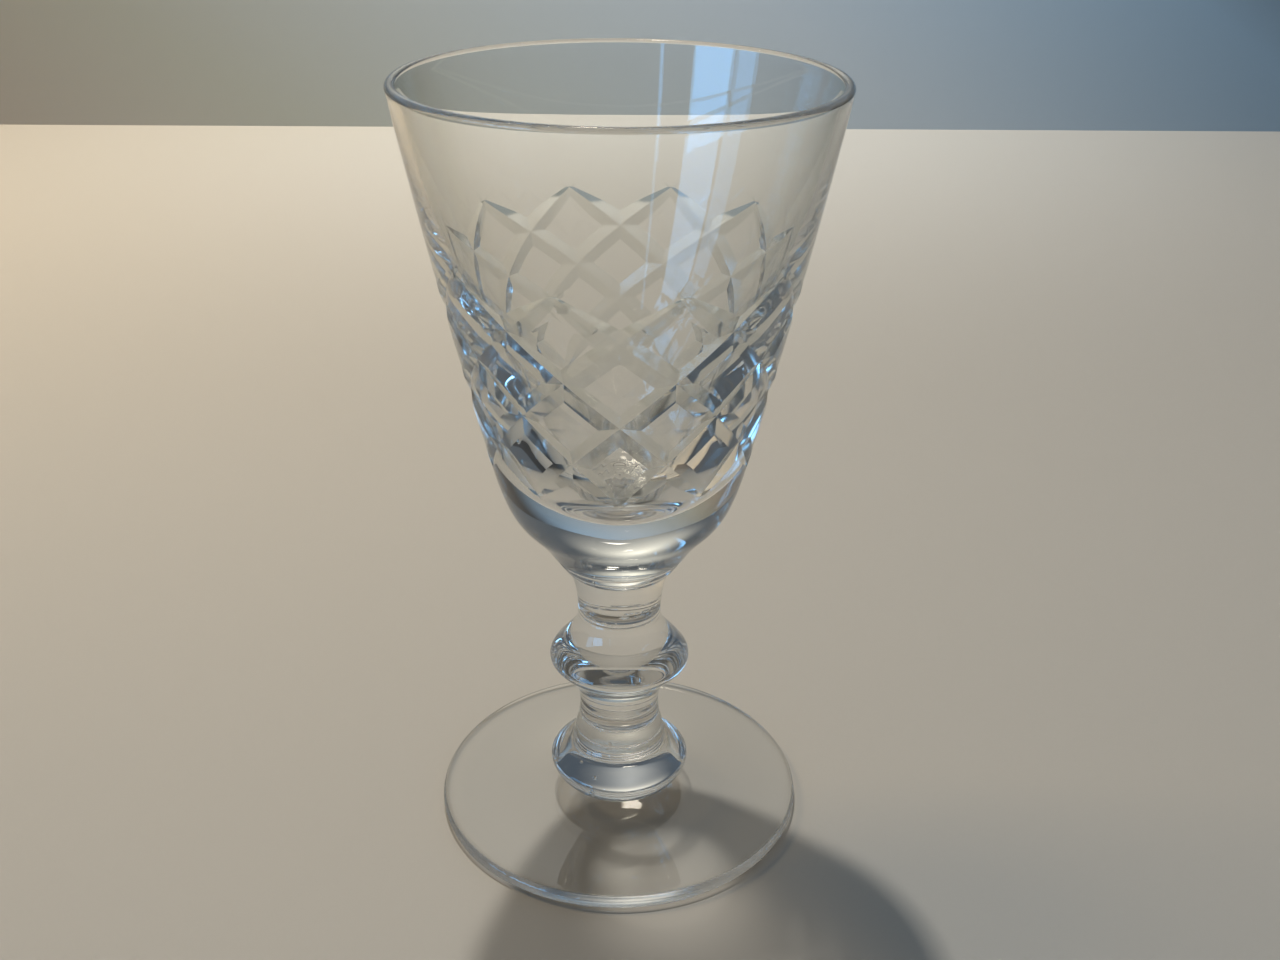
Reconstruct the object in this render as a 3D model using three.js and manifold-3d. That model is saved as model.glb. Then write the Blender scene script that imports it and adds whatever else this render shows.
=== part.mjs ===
// Schnapps glass: a cut bowl on a knopped stem and a round foot.
// Millimetres, +Z up. The origin is the middle of the plane that the foot stands on.
// Each gather of glass is a solid of its own, and the seams are flat discs where two gathers meet.
import * as THREE from 'three';
import { mergeVertices, toCreasedNormals } from 'three/addons/utils/BufferGeometryUtils.js';
import Module from 'manifold-3d';

const wasm = await Module();
wasm.setup();

// Heights of the gathers, from the table up
const FOOT_HEIGHT = 2.6;
const BASE_KNOP_HEIGHT = 7.3;
const LOWER_NECK_HEIGHT = 4.3;
const RING_KNOP_HEIGHT = 12.8;
const UPPER_NECK_HEIGHT = 6;
const COLLAR_HEIGHT = 3;
const BOWL_HEIGHT = 54;

// Radii of the seams between them
const FOOT_SEAM_RADIUS = 6.2;
const BASE_KNOP_SEAM_RADIUS = 5.45;
const LOWER_NECK_SEAM_RADIUS = 4.87;
const RING_KNOP_SEAM_RADIUS = 4.97;
const UPPER_NECK_SEAM_RADIUS = 5.95;
const COLLAR_SEAM_RADIUS = 8.05;

// Foot: a disc that stands on a flat ring, with the underside hollow inside the ring
const FOOT_RADIUS = 22.5;
const FOOT_EDGE_HEIGHT = 1.8;
const FOOT_EDGE_ROUND = 0.85;
const REST_RING_WIDTH = 3.4;
const FOOT_HOLLOW_DEPTH = 0.6;

// Knops: radius and height of the widest line, and how softly the edge there is rounded
const BASE_KNOP_RADIUS = 8.6;
const BASE_KNOP_EDGE_HEIGHT = 3.2;
const BASE_KNOP_EDGE_ROUND = 1.1;
const BASE_KNOP_UNDERCUT = 0.65;
const BASE_KNOP_UPPER_SWEEP = 2;
const RING_KNOP_RADIUS = 8.5;
const RING_KNOP_EDGE_HEIGHT = 6.7;
const RING_KNOP_EDGE_ROUND = 1.2;
const RING_KNOP_LOWER_SWEEP = 4;
const RING_KNOP_UPPER_SWEEP = 2.6;

// Upper neck: upright at first, then flared from a height on
const UPPER_NECK_UPRIGHT = 2.5;
const UPPER_NECK_FLARE_HEIGHT = 4.5;

// Collar: how its cup swells out over the neck, and how it stands up to the bowl
const COLLAR_SWELL = 0.5;
const COLLAR_SWELL_HEIGHT = 0.3;
const COLLAR_LIP = 0.4;
const COLLAR_LIP_HEIGHT = 1.2;

// Bowl, outside: a slightly bulged cone over a round bottom that sets off from the seam with its own lean
const RIM_RADIUS = 23.65;
const SHOULDER_RADIUS = 14.75;
const SHOULDER_HEIGHT = 12;
const SHOULDER_EASE = 9;
const WALL_BULGE = 0.3;
const BOWL_STEP = 0.25;
const BELLY_LEAN = 3.2;
const BELLY_RISE = 5;

// Bowl, inside: an even wall under the rim that grows thicker further down, over a shallow round well
const RIM_THICKNESS = 1.1;
const SHOULDER_WALL = 6.35;
const THICKENING_HEIGHT = 35.5;
const THICKENING_BLEND = 2.5;
const WELL_HEIGHT = 12;
const WELL_EASE = 2;
const WELL_FLAT_RADIUS = 4.2;
const BOTTOM_THICKNESS = 7.4;

// Cut lattice: mitre grooves that wind both ways round the bowl and cross in rows
const GROOVES_EACH_WAY = 10;
const LATTICE_ROWS = 5;
const LATTICE_BOTTOM = 12.6;
const LATTICE_ROW_HEIGHT = 4.93;
const GROOVE_WIDTH = 2.9;
const GROOVE_DEPTH = 0.5;
const GROOVE_RUNOUT = 5;
const GROOVE_OVERRUN = 0.6;

// Fineness of the facets
const STEM_SEGMENTS = 36;
const FOOT_SEGMENTS = 48;
const BOWL_SEGMENTS = 60;
const CURVE_STEPS = 5;
const INNER_WALL_STEPS = 7;
const GROOVE_STEPS = 18;
const CUTTER_CLEARANCE = 0.4;
const CREASE_ANGLE = THREE.MathUtils.degToRad(10);

const clearGlass = (name) => new THREE.MeshStandardMaterial({
  name,
  color: 0xdfe6ea,
  roughness: 0.02,
  metalness: 0,
  transparent: true,
  opacity: 0.35,
});

// A closed solid of revolution about Z from a profile in radius and height that starts and ends on the axis
function turned(profile, segments) {
  const geometry = new THREE.LatheGeometry(profile.getPoints(CURVE_STEPS), segments);
  geometry.rotateX(Math.PI / 2);
  return geometry;
}

// Foot: hollow underside, flat standing ring, round edge and a top that rises gently to the stem
function footGeometry() {
  const ringOuter = FOOT_RADIUS - FOOT_EDGE_ROUND;
  const ringInner = ringOuter - REST_RING_WIDTH;
  const profile = new THREE.Path();
  profile.moveTo(0, FOOT_HOLLOW_DEPTH);
  profile.quadraticCurveTo(ringInner / 2, FOOT_HOLLOW_DEPTH, ringInner, 0);
  profile.lineTo(ringOuter, 0);
  profile.quadraticCurveTo(FOOT_RADIUS, 0, FOOT_RADIUS, FOOT_EDGE_ROUND);
  profile.quadraticCurveTo(FOOT_RADIUS, FOOT_EDGE_HEIGHT, ringOuter, FOOT_EDGE_HEIGHT);
  profile.quadraticCurveTo(2 * FOOT_SEAM_RADIUS, FOOT_EDGE_HEIGHT, FOOT_SEAM_RADIUS, FOOT_HEIGHT);
  profile.lineTo(0, FOOT_HEIGHT);
  return turned(profile, FOOT_SEGMENTS);
}

// Base knop: undercut below its widest line, and drawn in above it like a bell
function baseKnopGeometry() {
  const profile = new THREE.Path();
  profile.moveTo(0, 0);
  profile.lineTo(FOOT_SEAM_RADIUS, 0);
  profile.bezierCurveTo(
    (FOOT_SEAM_RADIUS + BASE_KNOP_RADIUS) / 2, BASE_KNOP_UNDERCUT,
    BASE_KNOP_RADIUS, BASE_KNOP_EDGE_HEIGHT - BASE_KNOP_EDGE_ROUND,
    BASE_KNOP_RADIUS, BASE_KNOP_EDGE_HEIGHT,
  );
  profile.bezierCurveTo(
    BASE_KNOP_RADIUS, BASE_KNOP_EDGE_HEIGHT + BASE_KNOP_EDGE_ROUND,
    BASE_KNOP_SEAM_RADIUS, BASE_KNOP_HEIGHT - BASE_KNOP_UPPER_SWEEP,
    BASE_KNOP_SEAM_RADIUS, BASE_KNOP_HEIGHT,
  );
  profile.lineTo(0, BASE_KNOP_HEIGHT);
  return turned(profile, STEM_SEGMENTS);
}

// A waist of the stem: upright at one end and flared at the other
function lowerNeckGeometry() {
  const profile = new THREE.Path();
  profile.moveTo(0, 0);
  profile.lineTo(BASE_KNOP_SEAM_RADIUS, 0);
  profile.bezierCurveTo(
    BASE_KNOP_SEAM_RADIUS, LOWER_NECK_HEIGHT / 3,
    LOWER_NECK_SEAM_RADIUS, LOWER_NECK_HEIGHT / 3,
    LOWER_NECK_SEAM_RADIUS, LOWER_NECK_HEIGHT,
  );
  profile.lineTo(0, LOWER_NECK_HEIGHT);
  return turned(profile, STEM_SEGMENTS);
}

// Ring knop: swells from the lower waist to its widest line and slopes back to the upper waist
function ringKnopGeometry() {
  const profile = new THREE.Path();
  profile.moveTo(0, 0);
  profile.lineTo(LOWER_NECK_SEAM_RADIUS, 0);
  profile.bezierCurveTo(
    LOWER_NECK_SEAM_RADIUS, RING_KNOP_LOWER_SWEEP,
    RING_KNOP_RADIUS, RING_KNOP_EDGE_HEIGHT - RING_KNOP_EDGE_ROUND,
    RING_KNOP_RADIUS, RING_KNOP_EDGE_HEIGHT,
  );
  profile.bezierCurveTo(
    RING_KNOP_RADIUS, RING_KNOP_EDGE_HEIGHT + RING_KNOP_EDGE_ROUND,
    RING_KNOP_SEAM_RADIUS, RING_KNOP_HEIGHT - RING_KNOP_UPPER_SWEEP,
    RING_KNOP_SEAM_RADIUS, RING_KNOP_HEIGHT,
  );
  profile.lineTo(0, RING_KNOP_HEIGHT);
  return turned(profile, STEM_SEGMENTS);
}

// Upper neck: upright over the ring knop and flared under the collar
function upperNeckGeometry() {
  const profile = new THREE.Path();
  profile.moveTo(0, 0);
  profile.lineTo(RING_KNOP_SEAM_RADIUS, 0);
  profile.bezierCurveTo(
    RING_KNOP_SEAM_RADIUS, UPPER_NECK_UPRIGHT,
    (RING_KNOP_SEAM_RADIUS + UPPER_NECK_SEAM_RADIUS) / 2, UPPER_NECK_FLARE_HEIGHT,
    UPPER_NECK_SEAM_RADIUS, UPPER_NECK_HEIGHT,
  );
  profile.lineTo(0, UPPER_NECK_HEIGHT);
  return turned(profile, STEM_SEGMENTS);
}

// Collar: a small cup with a rounded outside
function collarGeometry() {
  const profile = new THREE.Path();
  profile.moveTo(0, 0);
  profile.lineTo(UPPER_NECK_SEAM_RADIUS, 0);
  profile.bezierCurveTo(
    UPPER_NECK_SEAM_RADIUS + COLLAR_SWELL, COLLAR_SWELL_HEIGHT,
    COLLAR_SEAM_RADIUS - COLLAR_LIP, COLLAR_HEIGHT - COLLAR_LIP_HEIGHT,
    COLLAR_SEAM_RADIUS, COLLAR_HEIGHT,
  );
  profile.lineTo(0, COLLAR_HEIGHT);
  return turned(profile, STEM_SEGMENTS);
}

// The round lip of the rim starts at this height
const LIP_HEIGHT = BOWL_HEIGHT - RIM_THICKNESS / 2;

// The outside of the bowl above its shoulder: radius at a height, a cone with a slight bulge
function wallRadius(height) {
  const along = (height - SHOULDER_HEIGHT) / (LIP_HEIGHT - SHOULDER_HEIGHT);
  return THREE.MathUtils.lerp(SHOULDER_RADIUS, RIM_RADIUS, along) + 4 * WALL_BULGE * along * (1 - along);
}

// Slope of that outside, in radius per height
function wallSlope(height) {
  const rise = LIP_HEIGHT - SHOULDER_HEIGHT;
  const along = (height - SHOULDER_HEIGHT) / rise;
  return (RIM_RADIUS - SHOULDER_RADIUS + 4 * WALL_BULGE * (1 - 2 * along)) / rise;
}

// The inside of the bowl: the outside less a wall that turns softly from even to growing
function innerRadius(height) {
  const growth = (SHOULDER_WALL - RIM_THICKNESS) / (THICKENING_HEIGHT - SHOULDER_HEIGHT);
  const below = (THICKENING_HEIGHT - height) / THICKENING_BLEND;
  const thickness = RIM_THICKNESS + growth * THICKENING_BLEND * Math.log1p(Math.exp(below));
  return wallRadius(height) - thickness;
}

// The blown blank of the bowl: round bottom, wall, rolled rim and the hollow inside
function bowlBlank() {
  const bottomRadius = COLLAR_SEAM_RADIUS + BOWL_STEP;
  const lip = RIM_THICKNESS / 2;
  const middle = (SHOULDER_HEIGHT + LIP_HEIGHT) / 2;
  const profile = new THREE.Path();
  profile.moveTo(0, 0);
  profile.lineTo(bottomRadius, 0);
  profile.bezierCurveTo(
    bottomRadius + BELLY_LEAN, BELLY_RISE,
    SHOULDER_RADIUS - wallSlope(SHOULDER_HEIGHT) * SHOULDER_EASE, SHOULDER_HEIGHT - SHOULDER_EASE,
    SHOULDER_RADIUS, SHOULDER_HEIGHT,
  );
  profile.quadraticCurveTo(
    2 * wallRadius(middle) - (SHOULDER_RADIUS + RIM_RADIUS) / 2, middle,
    RIM_RADIUS, LIP_HEIGHT,
  );
  profile.absarc(RIM_RADIUS - lip, LIP_HEIGHT, lip, 0, Math.PI);
  for (let step = 1; step <= INNER_WALL_STEPS; step += 1) {
    const height = THREE.MathUtils.lerp(LIP_HEIGHT, WELL_HEIGHT, step / INNER_WALL_STEPS);
    profile.lineTo(innerRadius(height), height);
  }
  profile.bezierCurveTo(
    2 * innerRadius(WELL_HEIGHT) - innerRadius(WELL_HEIGHT + WELL_EASE), WELL_HEIGHT - WELL_EASE,
    WELL_FLAT_RADIUS, BOTTOM_THICKNESS,
    0, BOTTOM_THICKNESS,
  );
  return turned(profile, BOWL_SEGMENTS);
}

// The wedge that one groove takes out: a V that follows a helix on the wall and runs out at both ends.
// Its point lies at the groove's depth, and its two sides keep the groove's slope wherever the depth changes.
function grooveWedge(startAngle, hand) {
  const latticeHeight = LATTICE_ROWS * LATTICE_ROW_HEIGHT;
  const anglePerHeight = hand * Math.PI / (GROOVES_EACH_WAY * LATTICE_ROW_HEIGHT);
  const span = latticeHeight + 2 * GROOVE_OVERRUN;
  const sideSlope = GROOVE_WIDTH / (2 * GROOVE_DEPTH);
  const positions = [];
  for (let step = 0; step <= GROOVE_STEPS; step += 1) {
    const climb = (step / GROOVE_STEPS) * span - GROOVE_OVERRUN;
    const height = LATTICE_BOTTOM + climb;
    const angle = startAngle + anglePerHeight * climb;
    const radius = wallRadius(height);
    const slope = wallSlope(height);
    const outward = new THREE.Vector3(Math.cos(angle), Math.sin(angle), -slope).normalize();
    const forward = new THREE.Vector3(
      slope * Math.cos(angle) - radius * anglePerHeight * Math.sin(angle),
      slope * Math.sin(angle) + radius * anglePerHeight * Math.cos(angle),
      1,
    );
    const sideways = new THREE.Vector3().crossVectors(forward, outward).normalize();
    const fromEnd = Math.min(climb + GROOVE_OVERRUN, latticeHeight + GROOVE_OVERRUN - climb);
    const short = Math.max(0, 1 - fromEnd / GROOVE_RUNOUT);
    const depth = GROOVE_DEPTH * (1 - short * short);
    const opening = (depth + CUTTER_CLEARANCE) * sideSlope;
    const onWall = new THREE.Vector3(radius * Math.cos(angle), radius * Math.sin(angle), height);
    const top = onWall.clone().addScaledVector(outward, CUTTER_CLEARANCE);
    const corners = [
      onWall.clone().addScaledVector(outward, -depth),
      top.clone().addScaledVector(sideways, opening),
      top.clone().addScaledVector(sideways, -opening),
    ];
    corners.forEach((corner) => positions.push(...corner.toArray()));
  }
  const index = [0, 1, 2];
  for (let step = 0; step < GROOVE_STEPS; step += 1) {
    for (let side = 0; side < 3; side += 1) {
      const near = 3 * step + side;
      const nearNext = 3 * step + (side + 1) % 3;
      index.push(near, nearNext + 3, nearNext, near, near + 3, nearNext + 3);
    }
  }
  const last = 3 * GROOVE_STEPS;
  index.push(last, last + 2, last + 1);
  const geometry = new THREE.BufferGeometry();
  geometry.setAttribute('position', new THREE.Float32BufferAttribute(positions, 3));
  geometry.setIndex(index);
  return geometry;
}

// A closed geometry as a solid that can be cut
function solid(geometry) {
  const bare = geometry.clone();
  bare.deleteAttribute('normal');
  bare.deleteAttribute('uv');
  const merged = mergeVertices(bare, 1e-5);
  const corners = merged.index.array;
  const triangles = [];
  for (let i = 0; i < corners.length; i += 3) {
    const [a, b, c] = [corners[i], corners[i + 1], corners[i + 2]];
    if (a !== b && b !== c && c !== a) triangles.push(a, b, c);
  }
  return new wasm.Manifold(new wasm.Mesh({
    numProp: 3,
    vertProperties: new Float32Array(merged.attributes.position.array),
    triVerts: new Uint32Array(triangles),
  }));
}

// A cut solid back as a geometry, with crisp edges where two faces meet at more than the crease angle
function geometryOf(body) {
  const mesh = body.getMesh();
  const geometry = new THREE.BufferGeometry();
  geometry.setAttribute('position', new THREE.BufferAttribute(mesh.vertProperties, 3));
  geometry.setIndex(new THREE.BufferAttribute(mesh.triVerts, 1));
  return toCreasedNormals(geometry, CREASE_ANGLE);
}

// Bowl: the blank with its lattice of grooves cut in
function bowlGeometry() {
  let bowl = solid(bowlBlank());
  for (let groove = 0; groove < GROOVES_EACH_WAY; groove += 1) {
    const startAngle = -Math.PI / 2 + (groove * 2 * Math.PI) / GROOVES_EACH_WAY;
    for (const hand of [1, -1]) bowl = bowl.subtract(solid(grooveWedge(startAngle, hand)));
  }
  return geometryOf(bowl);
}

const glass = new THREE.Group();
let seamHeight = 0;
const gathers = [
  ['foot', footGeometry(), FOOT_HEIGHT],
  ['base_knop', baseKnopGeometry(), BASE_KNOP_HEIGHT],
  ['lower_neck', lowerNeckGeometry(), LOWER_NECK_HEIGHT],
  ['ring_knop', ringKnopGeometry(), RING_KNOP_HEIGHT],
  ['upper_neck', upperNeckGeometry(), UPPER_NECK_HEIGHT],
  ['collar', collarGeometry(), COLLAR_HEIGHT],
  ['bowl', bowlGeometry(), BOWL_HEIGHT],
];
for (const [name, geometry, height] of gathers) {
  const mesh = new THREE.Mesh(geometry, clearGlass(name));
  mesh.name = name;
  mesh.position.z = seamHeight;
  glass.add(mesh);
  seamHeight += height;
}

export default glass;
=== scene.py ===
"""Cut schnapps glass on a knopped stem: the finished surfaces and a plain studio stage.

Each gather of glass is a surface of revolution worked out from its own profile, and the bowl's outside also
carries a lattice of mitre cuts. Lengths are metres in the frame, with +Z up and the foot standing on z = 0.
"""

import math

import bpy
import numpy as np
from bpy.props import FloatProperty, FloatVectorProperty, IntProperty, PointerProperty
from mathutils import Matrix, Vector


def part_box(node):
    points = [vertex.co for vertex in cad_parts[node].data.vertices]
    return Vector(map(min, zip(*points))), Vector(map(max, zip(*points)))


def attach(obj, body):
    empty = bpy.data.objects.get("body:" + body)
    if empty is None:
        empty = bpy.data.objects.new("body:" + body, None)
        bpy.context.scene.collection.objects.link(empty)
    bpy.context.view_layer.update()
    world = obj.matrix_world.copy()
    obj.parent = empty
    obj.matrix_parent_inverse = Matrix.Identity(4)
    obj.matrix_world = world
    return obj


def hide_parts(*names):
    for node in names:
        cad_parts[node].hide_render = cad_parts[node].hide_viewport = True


bl_info = {
    "name": "Cut Schnapps Glass",
    "version": (1, 0, 0),
    "blender": (4, 5, 0),
    "location": "View3D > Sidebar > Schnapps Glass",
    "description": "Builds a cut schnapps glass on a knopped stem, with a plain studio stage",
    "category": "Add Mesh",
}

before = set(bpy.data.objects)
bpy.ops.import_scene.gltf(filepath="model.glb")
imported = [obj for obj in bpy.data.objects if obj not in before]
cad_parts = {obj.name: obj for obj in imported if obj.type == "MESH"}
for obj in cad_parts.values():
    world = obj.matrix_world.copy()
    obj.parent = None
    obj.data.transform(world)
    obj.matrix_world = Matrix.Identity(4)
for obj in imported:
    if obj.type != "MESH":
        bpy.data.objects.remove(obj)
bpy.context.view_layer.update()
MM = 0.001
GATHERS = ("foot", "base_knop", "lower_neck", "ring_knop", "upper_neck", "collar", "bowl")
SEAM_Z = {name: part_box(name)[0].z for name in GATHERS}
TOP_Z = {name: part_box(name)[1].z for name in GATHERS}
WIDEST = {name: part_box(name)[1].x for name in GATHERS}

# Places of a piece's materials, in the order in which add_piece gives them.
CLEAR, SEAM, WORN, CUT = 0, 1, 2, 3

# Steps along the profiles' curves, and columns round the axis.
HOLLOW_STEPS, ROUND_STEPS, FOOT_TOP_STEPS = 40, 10, 28
STEM_STEPS = 48
BELLY_STEPS, WALL_STEPS, RIM_STEPS, WELL_STEPS = 40, 60, 16, 90
SEED_STEPS = 6
FOOT_COLUMNS, STEM_COLUMNS, SEED_COLUMNS = 192, 160, 10

# Edges that turn by more than these degrees stay sharp, on the turned pieces and on the cut bowl.
TURNED_SHARP, CUT_SHARP = 40, 14

# Length of a curve's handles, as a share of the radius, at which the curve is a quarter of a circle.
QUARTER_HANDLE = 0.55

# Profile points nearer than the first of these are one point, and one lower than the second is on the floor.
SAME_POINT, ON_FLOOR = 1e-7, 1e-6


def length(name, description, millimetres):
    """A length property whose default is given in millimetres."""
    return FloatProperty(
        name=name, description=description, default=millimetres * MM, unit="LENGTH", precision=5
    )


def linear(hex_colour):
    """An sRGB hex colour such as "#c8c0b0" as linear red, green and blue."""
    srgb = np.array([int(hex_colour[i : i + 2], 16) / 255 for i in (1, 3, 5)])
    low, high = srgb / 12.92, ((srgb + 0.055) / 1.055) ** 2.4
    return tuple(float(c) for c in np.where(srgb <= 0.04045, low, high))


def tint(name, description, hex_colour):
    """A colour property whose default is an sRGB hex value."""
    return FloatVectorProperty(
        name=name, description=description, default=linear(hex_colour), subtype="COLOR", size=3, min=0, max=1
    )


class StemSizes(bpy.types.PropertyGroup):
    """Radii of the seams in the stem, how its knops and foot are rounded, and the marks of its making."""

    foot_seam: length("Foot seam", "Radius where the base knop sits on the foot", 6.2)
    base_seam: length("Base seam", "Radius between the base knop and the lower neck", 5.45)
    lower_seam: length("Lower seam", "Radius between the lower neck and the ring knop", 4.87)
    ring_seam: length("Ring seam", "Radius between the ring knop and the upper neck", 4.97)
    upper_seam: length("Upper seam", "Radius between the upper neck and the collar", 5.95)
    base_edge: length("Base edge", "Height of the base knop's widest line over its seam", 3.2)
    base_round: length("Base round", "Length of the handles that round the base knop's edge", 1.1)
    base_undercut: length("Base undercut", "Rise of the handle of the base knop's underside", 0.65)
    base_sweep: length("Base sweep", "Length of the handle that draws the base knop in to the neck", 2)
    ring_edge: length("Ring edge", "Height of the ring knop's widest line over its seam", 6.7)
    ring_round: length("Ring round", "Length of the handles that round the ring knop's edge", 1.2)
    ring_lower_sweep: length("Ring lower sweep", "Length of the handle that swells the ring knop below", 4)
    ring_upper_sweep: length("Ring upper sweep", "Length of the handle that draws it in above", 2.6)
    neck_upright: length("Neck upright", "Length of the handle that keeps the upper neck upright", 2.5)
    neck_flare: length("Neck flare", "Height over its seam from which the upper neck flares", 4.5)
    collar_swell: length("Collar swell", "How far the collar's cup swells out over the neck", 0.5)
    collar_swell_rise: length("Collar swell rise", "Height of that swelling over the seam", 0.3)
    collar_lip: length("Collar lip", "How far the collar leans out at the bowl", 0.4)
    collar_lip_drop: length("Collar lip drop", "Depth of that lean under the bowl's seam", 1.2)
    marks: IntProperty(name="Marks", description="Tool marks round the lower neck", default=3, min=0)
    mark_first: length("First mark", "Height of the lowest mark over the floor", 10.3)
    mark_pitch: length("Mark pitch", "Height from one mark to the next", 1.95)
    mark_depth: length("Mark depth", "Depth of such a mark", 0.2)
    mark_width: length("Mark width", "Half the width of such a mark", 0.08)
    crease_pitch: length("Crease pitch", "Height from the crease on the ring knop's seam to the next", 0.55)
    crease_depth: length("Crease depth", "Depth of such a crease", 0.1)
    crease_width: length("Crease width", "Half the width of such a crease", 0.13)
    rings: IntProperty(name="Rings", description="Tool rings from the collar's seam up", default=3, min=0)
    ring_pitch: length("Ring pitch", "Height from one ring to the next", 1.15)
    ring_depth: length("Ring depth", "Depth of such a ring", 0.1)
    ring_width: length("Ring width", "Half the width of such a ring", 0.14)
    seed_radius: length("Seed radius", "Radius of the largest seed bubbles in the collar", 0.22)
    foot_edge: length("Foot edge", "Thickness of the foot at its edge", 1.8)
    foot_round: length("Foot round", "How far the foot's edge is rounded", 0.85)
    rest_ring: length("Rest ring", "Width of the flat ring that the foot stands on", 3.4)
    foot_hollow: length("Foot hollow", "Depth of the hollow under the foot", 0.6)


class BowlSizes(bpy.types.PropertyGroup):
    """Sizes of the bowl's wall and of its cut lattice."""

    rim_wall: length("Rim wall", "Thickness of the wall at the rim", 1.1)
    shoulder_radius: length("Shoulder radius", "Outside radius where the wall meets the round bottom", 14.75)
    shoulder_rise: length("Shoulder rise", "Height of that line over the bowl's seam", 12)
    shoulder_ease: length("Shoulder ease", "Length over which the round bottom eases into the wall", 9)
    belly_out: length("Belly out", "How far the handle of the round bottom leans out at the seam", 3.2)
    belly_up: length("Belly up", "How far that handle rises", 5)
    bulge: length("Bulge", "How far the wall stands out from a straight cone", 0.3)
    step: length("Step", "How far the bowl stands out over the collar", 0.25)
    well_rise: length("Well rise", "Height over the bowl's seam where the wall turns into the well", 12)
    well_ease: length("Well ease", "Length of the handle that eases the wall into the well", 2)
    well_flat: length("Well flat", "Length of the handle that flattens the well's floor", 4.2)
    shoulder_wall: length("Shoulder wall", "Thickness of the wall at the shoulder", 6.35)
    thick_rise: length("Thickening rise", "Height over the bowl's seam below which the wall thickens", 35.5)
    thick_blend: length("Thickening blend", "Height over which the thickening sets in", 5)
    bottom: length("Bottom", "Thickness of the glass under the hollow", 7.4)
    ripple: length("Ripple", "Height of the ripples in the floor of the well", 0.024)
    ripple_pitch: length("Ripple pitch", "Distance from one ripple to the next", 0.85)
    ripple_reach: length("Ripple reach", "Radius at which the ripples have died out", 5)
    lattice_rise: length("Lattice rise", "Height of the lattice's lowest points over the bowl's seam", 12.6)
    row_height: length("Row height", "Height from one row of crossings to the next", 4.93)
    groove_width: length("Groove width", "Width of a cut at full depth", 2.9)
    groove_depth: length("Groove depth", "Full depth of a cut", 0.37)
    runout: length("Run-out", "Height over which a cut grows from nothing to its full depth", 5)
    overrun: length("Overrun", "How far a cut runs past the last row of crossings", 0.6)
    rows: IntProperty(name="Rows", description="Rows of half diamonds in the lattice", default=5, min=1)
    cuts: IntProperty(name="Cuts", description="Cuts that wind each way round the bowl", default=10, min=3)


class StageSettings(bpy.types.PropertyGroup):
    """Colours of the floor and wall, and the light on them."""

    floor: tint("Floor", "Colour of the floor", "#c8c6bf")
    # The wall's colours are painted light and shade: warm lamp light on the left, blue daylight shade and
    # dark shade on the right.
    wall_left: tint("Wall left", "Colour of the wall at the left", "#a59f9a")
    wall_warm: tint("Wall warm", "Colour of the wall left of the glass", "#a0a39c")
    wall_cool: tint("Wall cool", "Colour of the wall right of the glass", "#a3afba")
    wall_right: tint("Wall right", "Colour of the wall at the right", "#8fabc4")
    wall_dark: tint("Wall dark", "Colour of the wall past the right of the picture", "#27313c")
    wall_distance: length("Wall distance", "How far behind the glass the wall stands", 383)
    wall_height: length("Wall height", "Height of the wall", 112)
    air: tint("Air", "Colour of the light from all round", "#bccfe2")
    air_strength: FloatProperty(
        name="Air strength", description="Brightness of the light from all round", default=0.25
    )
    seen_strength: FloatProperty(
        name="Seen strength", description="Brightness of the air where it is seen itself", default=0.14
    )
    lens: FloatProperty(name="Lens", description="Focal length of the camera in mm", default=39.375)


def bezier(start, lean, reach, end, steps):
    """Points of a cubic curve: start, two handles and end, blended by the Bernstein weights of t, 0 to 1."""
    t = np.linspace(0, 1, steps + 1)[:, None]
    corners = [np.array(corner, float) for corner in (start, lean, reach, end)]
    weights = [(1 - t) ** 3, 3 * t * (1 - t) ** 2, 3 * t**2 * (1 - t), t**3]
    return sum(weight * corner for weight, corner in zip(weights, corners))


def arc(centre, radius, first, last, steps):
    """Points of a circle's arc between two angles in degrees, from +radius towards +height."""
    turn = np.radians(np.linspace(first, last, steps + 1))
    return np.stack([centre[0] + radius * np.cos(turn), centre[1] + radius * np.sin(turn)], axis=1)


def outline(*stretches):
    """One profile from several stretches, each point kept once."""
    points = np.concatenate([np.atleast_2d(np.array(stretch, float)) for stretch in stretches])
    moved = np.linalg.norm(np.diff(points, axis=0), axis=1) > SAME_POINT
    return points[np.concatenate([[True], moved])]


def ringed(profile, heights, depth, width):
    """The profile with a groove at each height: radius less depth times exp(-((z - height) / width) ** 2)."""
    away = (profile[:, 1:] - np.asarray(heights)[None, :]) / width
    return np.stack([profile[:, 0] - depth * np.exp(-(away**2)).sum(axis=1), profile[:, 1]], axis=1)


def ring_points(profile, columns):
    """Each profile point (radius, height) turned about Z: x = r sin(angle), y = -r cos(angle)."""
    angle = np.arange(columns) * 2 * math.pi / columns
    radius, height = profile[:, :1], profile[:, 1:]
    flat = np.broadcast_to(height, (len(profile), columns))
    return np.stack([radius * np.sin(angle), -radius * np.cos(angle), flat], axis=2)


def band_quads(first_row, rows, columns):
    """Corner numbers of the four-sided faces between each of some rows of points and the row above it."""
    row, column = np.meshgrid(np.arange(first_row, first_row + rows), np.arange(columns), indexing="ij")
    beside = (column + 1) % columns
    corners = [row * columns + column, row * columns + beside]
    corners += [(row + 1) * columns + beside, (row + 1) * columns + column]
    return np.stack(corners, axis=-1).reshape(-1, 4)


def fan(pole, row, columns, upward):
    """Corner numbers of the triangles from a point on the axis to a row of points."""
    column = np.arange(columns)
    here, beside = row * columns + column, row * columns + (column + 1) % columns
    pair = (here, beside) if upward else (beside, here)
    return np.stack([np.full(columns, pole), *pair], axis=1)


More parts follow.
